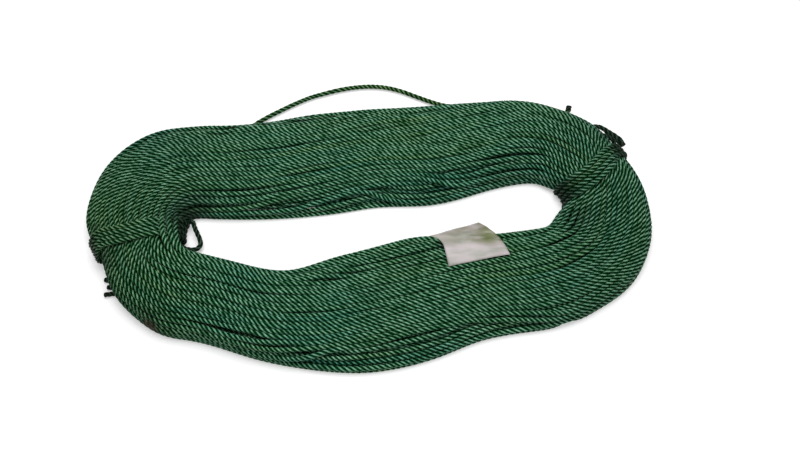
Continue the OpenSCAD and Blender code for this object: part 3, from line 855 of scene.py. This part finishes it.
def coated_paper():
    """Coated paper: pale, slightly warm and a little shiny, with faint clouds, a soiled, greenish cast
    towards its curled edge, where the cord has rubbed it, and a smear of the cord's colour there."""
    colours = bpy.context.scene.hank_colours
    material, tree, shader = new_material("coated_paper", Roughness=0.45)
    place = add_node(tree, "TexCoord").outputs["Object"]
    parts = add_node(tree, "SeparateXYZ", [place])
    drawn = add_node(tree, "VectorMath", [place, PAPER_DRAWN], operation="MULTIPLY")
    clouds = add_node(tree, "TexNoise", {"Vector": drawn, "Scale": 1 / CLOUD, "Detail": 3.0})
    ramp = add_node(tree, "ValToRGB", [clouds])
    stops = ramp.color_ramp.elements
    stops[0].position, stops[0].color = CLOUD_AT, (*colours.cloud, 1)
    stops[1].position, stops[1].color = CLEAR_AT, (*colours.paper, 1)

    # The soil lies in streaks, less of it towards the left.
    soft = {"interpolation_type": "SMOOTHSTEP"}
    soil = add_node(tree, "MapRange", [parts.outputs["Y"], SOIL_FROM, SOIL_FULL], **soft)
    streaks = add_node(tree, "TexNoise", {"Vector": drawn, "Scale": 1 / STREAK, "Detail": 3.0})
    streaks = add_node(tree, "MapRange", [streaks, STREAK_FROM, STREAK_FULL])
    soil = add_node(tree, "Math", [soil, streaks], operation="MULTIPLY")
    side = add_node(tree, "MapRange", [parts.outputs["X"], SOIL_LEFT, SOIL_RIGHT, SOIL_LEAST], **soft)
    soil = add_node(tree, "Math", [soil, side], operation="MULTIPLY")
    away = add_node(tree, "VectorMath", [place, LABEL_SMEAR], operation="DISTANCE").outputs["Value"]
    smear = add_node(tree, "MapRange", [away, SMEAR_REACH, SMEAR_FULL], **soft)
    smear = add_node(tree, "Math", [smear, streaks], operation="MULTIPLY")
    mixed = ramp.outputs[0]
    for amount, colour in ((soil, colours.soil), (smear, colours.smear)):
        mixed = add_node(
            tree, "Mix", {0: amount, 6: mixed, 7: (*colour, 1)}, data_type="RGBA", blend_type="MULTIPLY"
        ).outputs[2]
    tree.links.new(mixed, shader.inputs["Base Color"])
    fibres = add_node(tree, "TexNoise", {"Vector": place, "Scale": 1 / FIBRE, "Detail": 2.0})
    bump = add_node(tree, "Bump", {"Height": fibres, "Strength": 0.25, "Distance": FIBRE_RELIEF})
    tree.links.new(bump.outputs[0], shader.inputs["Normal"])
    return material


# ---- Pieces --------------------------------------------------------------------------------------

# Layers of the winding, from the middle outwards: name, pieces, strand corners, points to a lay
LAYERS = [
    ("inner_cord", 1, PLAIN_STRAND, 2.5),
    ("middle_cord", 2, PLAIN_STRAND, 6),
    ("outer_cord", 4, FINE_STRAND, 8),
]
PATH_POINTS, SINGLE_POINTS = 2.5, 10
EVEN_STEP = 4 * MM  # between the points in which the winding's kinks are taken out


def finish_cord(piece, material, slot, nodes, path, length, far_end, lay):
    """Gives a piece of cord its material, hangs it under the root, and hides the frame's parts that it
    stands for.
    """
    piece.data.materials.append(material)
    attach(piece, "root")
    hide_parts(*nodes)


def shade_and_dirt_along(line):
    """How dark the dirt and the painted shade make each point of a line."""
    soil = np.zeros(len(line))
    for spot, reach, strength in SHADE_AND_DIRT:
        away = np.linalg.norm(line[:, :2] - np.array(spot), axis=1) / reach
        soil = 1 - (1 - soil) * (1 - strength * np.exp(-(away**2)))
    return soil


class HANK_OT_wind_cord(bpy.types.Operator):
    """Winds the long cord turn by turn and lays its turns on each other in the bundle"""

    bl_idname = "hank.wind_cord"
    bl_label = "Wind the Cord"

    def execute(self, context):
        sizes = context.scene.hank_cord
        line = hank()["line"]
        shaded = laid_polyethylene("laid_polyethylene_in_shade", dark=0.8)
        lit = laid_polyethylene("laid_polyethylene")
        first, run, begin = 0, 0.0, 0
        for (name, count, strand, points), end in zip(LAYERS, hank()["layers"][-len(LAYERS) :]):
            core = name == "inner_cord"
            look = (shaded, "cord_inner") if core else (lit, "cord_outer")
            node = "outer_turns" if name == "outer_cord" else "inner_turns"
            for k in range(count):
                turn = begin + (end - begin) * (k + 1) / count
                stop = min(int(turn * ROUND), len(line) - 1)
                part = even_out(smooth(line[first : stop + 1], EVEN_STEP, places=5), 8)
                part = smooth(part, sizes.lay / points, places=5)
                piece, length = cord_mesh(
                    f"{name}_{k + 1}",
                    part,
                    sizes,
                    strand,
                    start=run,
                    blunt=(core, False),
                    shade_and_stain=shade_and_dirt_along(part),
                )
                path = np.vstack([part[: -1 : max(1, int(points / PATH_POINTS))], part[-1:]])
                finish_cord(piece, *look, [node], path, length, "object", "coiled")
                first, run = stop, run + length
            begin = end
        _hank["run"] = run
        return {"FINISHED"}


class HANK_OT_lay_loose_turn(bpy.types.Operator):
    """Lays the slack turn behind the back run, out to its cut end"""

    bl_idname = "hank.lay_loose_turn"
    bl_label = "Lay the Slack Turn"

    def execute(self, context):
        sizes = context.scene.hank_cord
        line = hank()["line"]
        route = smooth([line[-9], line[-5], line[-1], *LOOSE_ROUTE], sizes.lay / SINGLE_POINTS)
        route = route[int(np.argmin(np.linalg.norm(route - line[-1], axis=1))) :]
        piece, length = cord_mesh(
            "slack_turn",
            route,
            sizes,
            FINE_STRAND,
            start=_hank.get("run", 0),
            blunt=(False, True),
            flare=(0.3, 3.0),
        )
        material = laid_polyethylene("laid_polyethylene_worn", tint=0.8, dark=0.75)
        path = np.vstack([route[::2], route[-1:]])
        finish_cord(piece, material, "cord_loose", ["loose_turn"], path, length, "bare", "loose")
        return {"FINISHED"}


# ---- Ties ----------------------------------------------------------------------------------------

LAP_POINTS = 32  # points of a tie's cord to a lap round the bundle
# Turns lie under a wrap within some places each side of it, and within a share of the pitch
NEAR_PLACES, NEAR_SHARE = 7, 0.8
WAY_NORMALS, WAY_POINTS = 144, 96  # directions in which a wrap is drawn tight, and points of its way
WAY_SMOOTHED, WAY_SHARED = 3, 0.3  # how often a way is smoothed, and how much each neighbour counts
CLEARANCE = 0.1 * MM  # between a wrap and the ground
SLANT_REACH = 2 * MM


class TiePlace:
    """Where a tie grips the bundle: its own directions, and the closed way round the turns there.

    sway tells how far along the run the wraps lie at each place across it, in millimetres, over which
    turns lie over the tie, and even how much further into the eye each wrap may stand than the one
    beside it, up the run."""

    def __init__(self, station, sway, sizes, ties, over=None, even=None):
        ring = hank()["ring"]
        k = ring.nearest(station)
        table = np.array(STATIONS)[:, :2]
        along = unit(table[(station + 1) % len(table)] - table[station - 1])
        self.run = np.append(along, 0)
        self.out = np.array([along[1], -along[0], 0])
        self.middle = np.append(table[station], 0)
        self.sway = np.array(sway) * MM
        near_by = (k + np.arange(-NEAR_PLACES, NEAR_PLACES + 1)) % ROUND
        held = np.ones(len(hank()["points"]), bool) if over is None else ~over
        points = hank()["points"][held][:, near_by]
        share = np.linspace(0, 1, 4, endpoint=False)[:, None, None, None]
        points = (points[:, :-1] * (1 - share) + points[:, 1:] * share).reshape(-1, 3) - self.middle
        o, s, z = points @ self.out, points @ self.run, points[:, 2]
        self.pitch = ties.pitch
        self.first = -(ties.wraps + 1) / 2
        self.low = sizes.diameter / 2 + CLEARANCE
        ways = []
        for n in range(ties.wraps + 2):
            gap = np.abs(s - self.aside(o) - (self.first + n) * ties.pitch)
            near = gap < NEAR_SHARE * ties.pitch
            ways.append(self.tight(np.stack([o[near], z[near]], 1), sizes.diameter - ties.bite))
        if even:
            for way, beside in zip(ways[-2::-1], ways[:0:-1]):
                held_back = np.maximum(way[:, 0], beside[:, 0] - even)
                way[:, 0] = np.where(way[:, 0] < 0, held_back, way[:, 0])
        ways = np.array([ways[0], *ways, ways[-1]])
        self.ways = (1 - 2 * WAY_SHARED) * ways[1:-1] + WAY_SHARED * (ways[:-2] + ways[2:])

    def tight(self, points, off):
        """The closed way of a cord that is drawn tight round the points, from the outer foot along the
        underside to the eye, up, over the crown and down outside."""
        way = []
        for angle in np.linspace(-math.pi / 4, -math.pi / 4 - 2 * math.pi, WAY_NORMALS + 1)[:-1]:
            normal = np.array([math.cos(angle), math.sin(angle)])
            way.append(points[np.argmax(points @ normal)] + off * normal)
        way = np.array(way)
        way[:, 1] = np.maximum(way[:, 1], self.low)
        closed = np.vstack([way, way[:1]])
        run = distances(closed)
        at = np.linspace(0, run[-1], WAY_POINTS + 1)
        way = np.stack([np.interp(at, run, closed[:, k]) for k in (0, 1)], 1)[:-1]
        for _ in range(WAY_SMOOTHED):
            way = 0.5 * way + 0.25 * (np.roll(way, 1, 0) + np.roll(way, -1, 0))
        way[:, 1] = np.maximum(way[:, 1], self.low)
        return way

    def aside(self, o):
        """How far along the run the wraps lie at a place across it."""
        return np.interp(o, self.sway[:, 0], self.sway[:, 1])

    def lap(self, t, s):
        """A point t laps along the way round the bundle, s aside from its middle: more along the run
        where the wraps slant, so that they keep their distance."""
        g = min(max(s / self.pitch - self.first, 0), len(self.ways) - 1.001)
        way = self.ways[int(g)] * (1 - g % 1) + self.ways[int(g) + 1] * (g % 1)
        f = (t % 1) * len(way)
        k = int(f) % len(way)
        o, z = way[k] * (1 - f % 1) + way[(k + 1) % len(way)] * (f % 1)
        slant = (self.aside(o + SLANT_REACH) - self.aside(o - SLANT_REACH)) / (2 * SLANT_REACH)
        along = s * math.hypot(1, slant) + self.aside(o)
        return self.middle + self.out * o + self.run * along + UP * z


# Plan of the wraps' middle, in millimetres: place across the run (outwards positive), place along
# the run
LEFT_SWAY = [(-36, -2.0), (-6, -2.4), (10, -4.0), (20, -7.2), (27, -7.8), (33, -5.0), (38, -1.0)]
RIGHT_SWAY = [(-36, -4.0), (-31, -7.2), (-20, -9.6), (-8, -9.0), (14, -2.2), (30, -1.0), (38, -0.5)]

# Left tie, in metres: its first tail, the slack loop in the eye, and two more tails under the outer
# edge
LEFT_START = [
    (-0.2020, -0.0540, 0.0022), (-0.1975, -0.0552, 0.0022), (-0.1925, -0.0545, 0.0022),
    (-0.1875, -0.0515, 0.0022), (-0.1825, -0.0470, 0.0022), (-0.1765, -0.0412, 0.0022),
]  # fmt: skip
LEFT_LOOP = [
    (-0.1382, -0.0090, 0.0112), (-0.1362, -0.0138, 0.0100), (-0.1338, -0.0186, 0.0078),
    (-0.1318, -0.0232, 0.0060), (-0.1320, -0.0272, 0.0052), (-0.1350, -0.0300, 0.0056),
    (-0.1400, -0.0310, 0.0078), (-0.1452, -0.0306, 0.0130), (-0.1490, -0.0298, 0.0195),
    (-0.1540, -0.0296, 0.0240), (-0.1590, -0.0303, 0.0262), (-0.1630, -0.0316, 0.0268),
]  # fmt: skip
LEFT_TAILS = [
    [
        (-0.1990, -0.0602, 0.0022), (-0.1955, -0.0600, 0.0021), (-0.1880, -0.0570, 0.0021),
        (-0.1790, -0.0500, 0.0021), (-0.1700, -0.0450, 0.0021),
    ],
    [
        (-0.2002, -0.0662, 0.0026), (-0.1965, -0.0655, 0.0021), (-0.1890, -0.0640, 0.0021),
        (-0.1800, -0.0585, 0.0021), (-0.1700, -0.0530, 0.0021),
    ],
]  # fmt: skip

# Right tie, in metres: its slack loop behind the hank, from the cut end, and its other cut end
RIGHT_LOOP = [
    (0.2061, 0.0602, 0.0118), (0.2042, 0.0638, 0.0124), (0.2006, 0.0673, 0.0132),
    (0.1958, 0.0707, 0.0140), (0.1904, 0.0749, 0.0146), (0.1850, 0.0758, 0.0154),
    (0.1798, 0.0729, 0.0176), (0.1784, 0.0671, 0.0214), (0.1814, 0.0623, 0.0246),
    (0.1870, 0.0622, 0.0238), (0.1932, 0.0620, 0.0206), (0.1984, 0.0604, 0.0158),
]  # fmt: skip
RIGHT_END = [
    (0.1960, 0.0402, 0.0285), (0.1995, 0.0435, 0.0240), (0.2018, 0.0468, 0.0192),
    (0.2032, 0.0492, 0.0158),
]  # fmt: skip

# The laps at which each tie's wraps start, and stop after all of its wraps
LEFT_LAPS, RIGHT_LAPS = (0.27, 0.42), (0.02, -0.20)
# Where the ties and tails begin on the whole cord's lay and tone, in metres, beyond the long cord's
# end
LEFT_TIE_AT, LEFT_TAILS_AT, RIGHT_TIE_AT = 110.0, 112.0, 115.0
# Darkening of a tie: painted shade at the eye and at the outer edge, where the wraps turn away from
# the light, and a darker colour towards a cut end; over how far each sets in, and how dark the tie is
# at the ends and all along the tails
EYE_SHADE, EDGE_SHADE, END_DARKENING, END_DARK, TAIL_DARK = 12 * MM, 8 * MM, 8 * MM, 0.75, 0.9


def tie_route(tie, before, laps, after, sizes, ties):
    """The whole way of a tie's cord: up to its wraps, round the bundle, and on to its end."""
    wraps = [
        tie.lap(t, (ties.wraps / 2 + 0.25 - t) * ties.pitch)
        for t in np.arange(laps[0], ties.wraps + laps[1], 1 / LAP_POINTS)
    ]
    return even_out(smooth([*before, *wraps, *after], sizes.lay / SINGLE_POINTS), 6)


def tie_shade_and_dark_ends(tie, route, eye, edge, ends):
    """How dark a tie's cord is along its route: painted shade at the eye and round the outer edge, where
    the wraps turn away from the light (how dark, and from how far out), and a darker colour towards its
    ends (how far in)."""
    o = (route - tie.middle) @ tie.out
    at_eye = eye[0] * np.clip((-eye[1] - o) / EYE_SHADE, 0, 1)
    dark = np.maximum(at_eye, edge[0] * np.clip((o - edge[1]) / EDGE_SHADE, 0, 1))
    run = distances(route)
    for reach, from_end in zip(ends, (run, run[-1] - run)):
        dark = np.maximum(dark, END_DARK * np.clip((reach - from_end) / END_DARKENING + 0.5, 0, 1))
    return dark


def finish_tie(piece, route, length, *nodes):
    """Finishes a piece of a tie's cord, in the one material that both ties share."""
    name = "laid_polyethylene_tie"
    material = bpy.data.materials.get(name) or laid_polyethylene(name, dark=0.95)
    path = np.vstack([route[:-1:2], route[-1:]])
    lay = "coiled" if length > 0.2 else "loose"
    finish_cord(piece, material, "tie_cord", nodes, path, length, "bare", lay)


class HANK_OT_tie_left(bpy.types.Operator):
    """Winds the left tie round the bundle, with its slack loop in the eye and its cut tails outside"""

    bl_idname = "hank.tie_left"
    bl_label = "Left Tie"

    def execute(self, context):
        sizes, ties = context.scene.hank_cord, context.scene.hank_ties
        tie = TiePlace(LEFT_TIE, LEFT_SWAY, sizes, ties, over=hank()["over"])
        route = tie_route(tie, LEFT_START, LEFT_LAPS, LEFT_LOOP, sizes, ties)
        piece, length = cord_mesh(
            "left_tie_cord",
            route,
            sizes,
            FINE_STRAND,
            side=tie.run,
            start=LEFT_TIE_AT,
            blunt=(True, True),
            shade_and_stain=tie_shade_and_dark_ends(tie, route, (0.85, 17 * MM), (0.8, 24 * MM), (12 * MM, 60 * MM)),
        )
        finish_tie(piece, route, length, "left_tie", "left_tie_bight", "left_tie_tails")
        for k, tail in enumerate(LEFT_TAILS):
            route = smooth(tail, sizes.lay / SINGLE_POINTS)
            piece, length = cord_mesh(
                f"left_tail_{k + 2}",
                route,
                sizes,
                FINE_STRAND,
                start=LEFT_TAILS_AT + k,
                blunt=(True, True),
                shade_and_stain=np.full(len(route), TAIL_DARK),
            )
            finish_tie(piece, route, length, "left_tie_tails")
        return {"FINISHED"}


class HANK_OT_tie_right(bpy.types.Operator):
    """Winds the right tie round the bundle, with its small loop behind and its cut ends"""

    bl_idname = "hank.tie_right"
    bl_label = "Right Tie"

    def execute(self, context):
        sizes, ties = context.scene.hank_cord, context.scene.hank_ties
        tie = TiePlace(RIGHT_TIE, RIGHT_SWAY, sizes, ties, even=1.6 * MM)
        route = tie_route(tie, RIGHT_LOOP, RIGHT_LAPS, RIGHT_END, sizes, ties)
        piece, length = cord_mesh(
            "right_tie_cord",
            route,
            sizes,
            FINE_STRAND,
            side=tie.run,
            start=RIGHT_TIE_AT,
            blunt=(True, True),
            shade_and_stain=tie_shade_and_dark_ends(tie, route, (0.8, 17 * MM), (0.85, 11 * MM), (60 * MM, 22 * MM)),
            flare=(0.55, 5.0),
        )
        finish_tie(piece, route, length, "right_tie", "right_tie_bight", "right_tie_tails")
        return {"FINISHED"}


# ---- Label ---------------------------------------------------------------------------------------

# Side edges of the label, from its near edge over the crown to its curled edge, in metres
LABEL_LEFT = [
    (0.0605, -0.0503, 0.0205), (0.0585, -0.0410, 0.0222), (0.0563, -0.0325, 0.0222),
    (0.0520, -0.0280, 0.0222), (0.0460, -0.0262, 0.0225),
]  # fmt: skip
LABEL_RIGHT = [
    (0.1068, -0.0412, 0.0228), (0.1025, -0.0322, 0.0232), (0.0970, -0.0245, 0.0225),
    (0.0915, -0.0195, 0.0232), (0.0838, -0.0165, 0.0262),
]  # fmt: skip
LABEL_COLUMNS, LABEL_ROWS, LABEL_THICKNESS = 30, 22, 0.2 * MM
# How far the paper bows over the rows, ripples, and is creased near its far edge: where, and how
# wide
LABEL_BOW, LABEL_RIPPLE, LABEL_CREASE = 0.9 * MM, 0.35 * MM, 1.1 * MM
CREASE_AT, CREASE_WIDE = 0.70, 0.07


def at_share(line, share):
    """The point at a share of the way along an evenly spaced line."""
    return np.array([np.interp(share, np.linspace(0, 1, len(line)), line[:, k]) for k in range(3)])


class HANK_OT_lay_label(bpy.types.Operator):
    """Lays the bare label over the eye's side of the front run, with its far edge curled up"""

    bl_idname = "hank.lay_label"
    bl_label = "Label"

    def execute(self, context):
        left, right = smooth(LABEL_LEFT, 1 * MM), smooth(LABEL_RIGHT, 1 * MM)
        bm = bmesh.new()
        bmesh.ops.create_grid(
            bm, x_segments=LABEL_COLUMNS, y_segments=LABEL_ROWS, size=0.5, calc_uvs=True
        )
        for v in bm.verts:
            u, w = v.co.x + 0.5, v.co.y + 0.5
            at = at_share(left, w) * (1 - u) + at_share(right, w) * u
            at[2] += LABEL_BOW * math.sin(math.pi * u) * (1 - 0.6 * w)
            crease = LABEL_CREASE * math.exp(-(((w - CREASE_AT) / CREASE_WIDE) ** 2)) * u
            at[2] += LABEL_RIPPLE * math.sin(11 * u + 3 * w) - crease
            v.co = at
        bmesh.ops.recalc_face_normals(bm, faces=bm.faces)
        mesh = bpy.data.meshes.new("bare_label")
        bm.to_mesh(mesh)
        bm.free()
        if sum(p.normal.z * p.area for p in mesh.polygons) < 0:
            mesh.flip_normals()
        mesh.polygons.foreach_set("use_smooth", np.ones(len(mesh.polygons), bool))
        piece = bpy.data.objects.new("bare_label", mesh)
        context.scene.collection.objects.link(piece)
        solid = piece.modifiers.new("thickness", "SOLIDIFY")
        solid.thickness = LABEL_THICKNESS
        solid.offset = 1
        piece.data.materials.append(coated_paper())
        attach(piece, "root")
        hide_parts("label")
        return {"FINISHED"}


# ---- Stage ---------------------------------------------------------------------------------------

AIM = Vector((0.024, -0.006, 0))
CAMERA_DISTANCE = 0.620
CAMERA_ELEVATION = math.radians(65)
FOCAL_PIXELS, IMAGE_WIDTH = 778, 800
FLOOR_SIZE, FLOOR_DROP, FLOOR_GREY, FLOOR_GLOW = 4, 0.2 * MM, 0.86, 0.36
SKY, SKY_SEEN = 0.28, 1.0  # the world's strength on the object, and as the camera sees it
LAMPS = (("key", (0.0, 0.12, 0.75), 0.45, 3.9), ("fill", (0.5, -0.7, 0.9), 1.0, 2.6))
WHITE = (1, 1, 1, 1)


class HANK_OT_set_stage(bpy.types.Operator):
    """Sets the white floor, the soft lights and the camera"""

    bl_idname = "hank.set_stage"
    bl_label = "Stage"

    def execute(self, context):
        scene = context.scene
        data = bpy.data.cameras.new("camera")
        data.lens = data.sensor_width * FOCAL_PIXELS / IMAGE_WIDTH
        data.clip_start = 0.01
        camera = bpy.data.objects.new("camera", data)
        away = Vector((0, -math.cos(CAMERA_ELEVATION), math.sin(CAMERA_ELEVATION)))
        camera.location = AIM + away * CAMERA_DISTANCE
        camera.rotation_euler = (math.pi / 2 - CAMERA_ELEVATION, 0, 0)
        scene.collection.objects.link(camera)
        scene.camera = camera
        scene.view_settings.view_transform = "Standard"

        bm = bmesh.new()
        bmesh.ops.create_grid(bm, x_segments=1, y_segments=1, size=FLOOR_SIZE)
        mesh = bpy.data.meshes.new("white_floor")
        bm.to_mesh(mesh)
        bm.free()
        floor = bpy.data.objects.new("white_floor", mesh)
        floor.location.z = -FLOOR_DROP
        scene.collection.objects.link(floor)
        grey = (FLOOR_GREY, FLOOR_GREY, FLOOR_GREY, 1)
        material, tree, shader = new_material(
            "white_table", Base_Color=grey, Roughness=0.9, Emission_Color=WHITE
        )
        rays = add_node(tree, "LightPath").outputs
        seen = [rays["Is Camera Ray"], rays["Is Glossy Ray"]]
        glow = add_node(tree, "Math", seen, operation="MAXIMUM")
        glow = add_node(tree, "Math", [glow, FLOOR_GLOW], operation="MULTIPLY")
        tree.links.new(glow.outputs[0], shader.inputs["Emission Strength"])
        mesh.materials.append(material)

        scene.world = bpy.data.worlds.new("studio")
        scene.world.use_nodes = True
        tree = scene.world.node_tree
        rays = add_node(tree, "LightPath").outputs
        seen = [rays["Is Camera Ray"], rays["Is Transmission Ray"]]
        bright = add_node(tree, "Math", seen, operation="MAXIMUM")
        strength = add_node(tree, "MapRange", {"Value": bright, "To Min": SKY, "To Max": SKY_SEEN})
        sky = tree.nodes["Background"]
        sky.inputs["Color"].default_value = WHITE
        tree.links.new(strength.outputs[0], sky.inputs["Strength"])

        for name, place, size, power in LAMPS:
            lamp = bpy.data.lights.new(name, "AREA")
            lamp.size = size
            lamp.energy = power
            light = bpy.data.objects.new(name, lamp)
            light.location = place
            light.rotation_euler = (-Vector(place)).to_track_quat("-Z", "Y").to_euler()
            scene.collection.objects.link(light)
        return {"FINISHED"}


# ---- Panel and registration ----------------------------------------------------------------------

GROUPS = {
    "hank_cord": CordSizes,
    "hank_ties": TieSizes,
    "hank_label": LabelSizes,
    "hank_colours": HankColours,
}
OPERATORS = (
    HANK_OT_set_stage,
    HANK_OT_wind_cord,
    HANK_OT_lay_loose_turn,
    HANK_OT_tie_left,
    HANK_OT_tie_right,
    HANK_OT_lay_label,
)


class HANK_PT_panel(bpy.types.Panel):
    """Sizes, colours and steps of the hank"""

    bl_idname = "HANK_PT_panel"
    bl_label = "Cord Hank"
    bl_space_type = "VIEW_3D"
    bl_region_type = "UI"
    bl_category = "Hank"

    def draw(self, context):
        for name in GROUPS:
            group = getattr(context.scene, name)
            box = self.layout.box()
            for item in group.__annotations__:
                box.prop(group, item)
        for operator in OPERATORS:
            self.layout.operator(operator.bl_idname)


CLASSES = (*GROUPS.values(), *OPERATORS, HANK_PT_panel)


def register():
    for item in CLASSES:
        bpy.utils.register_class(item)
    for name, group in GROUPS.items():
        setattr(bpy.types.Scene, name, bpy.props.PointerProperty(type=group))


def unregister():
    for name in GROUPS:
        delattr(bpy.types.Scene, name)
    for item in reversed(CLASSES):
        bpy.utils.unregister_class(item)


def main():
    register()
    for operator in OPERATORS:
        group, name = operator.bl_idname.split(".")
        getattr(getattr(bpy.ops, group), name)()


if __name__ == "__main__":
    main()
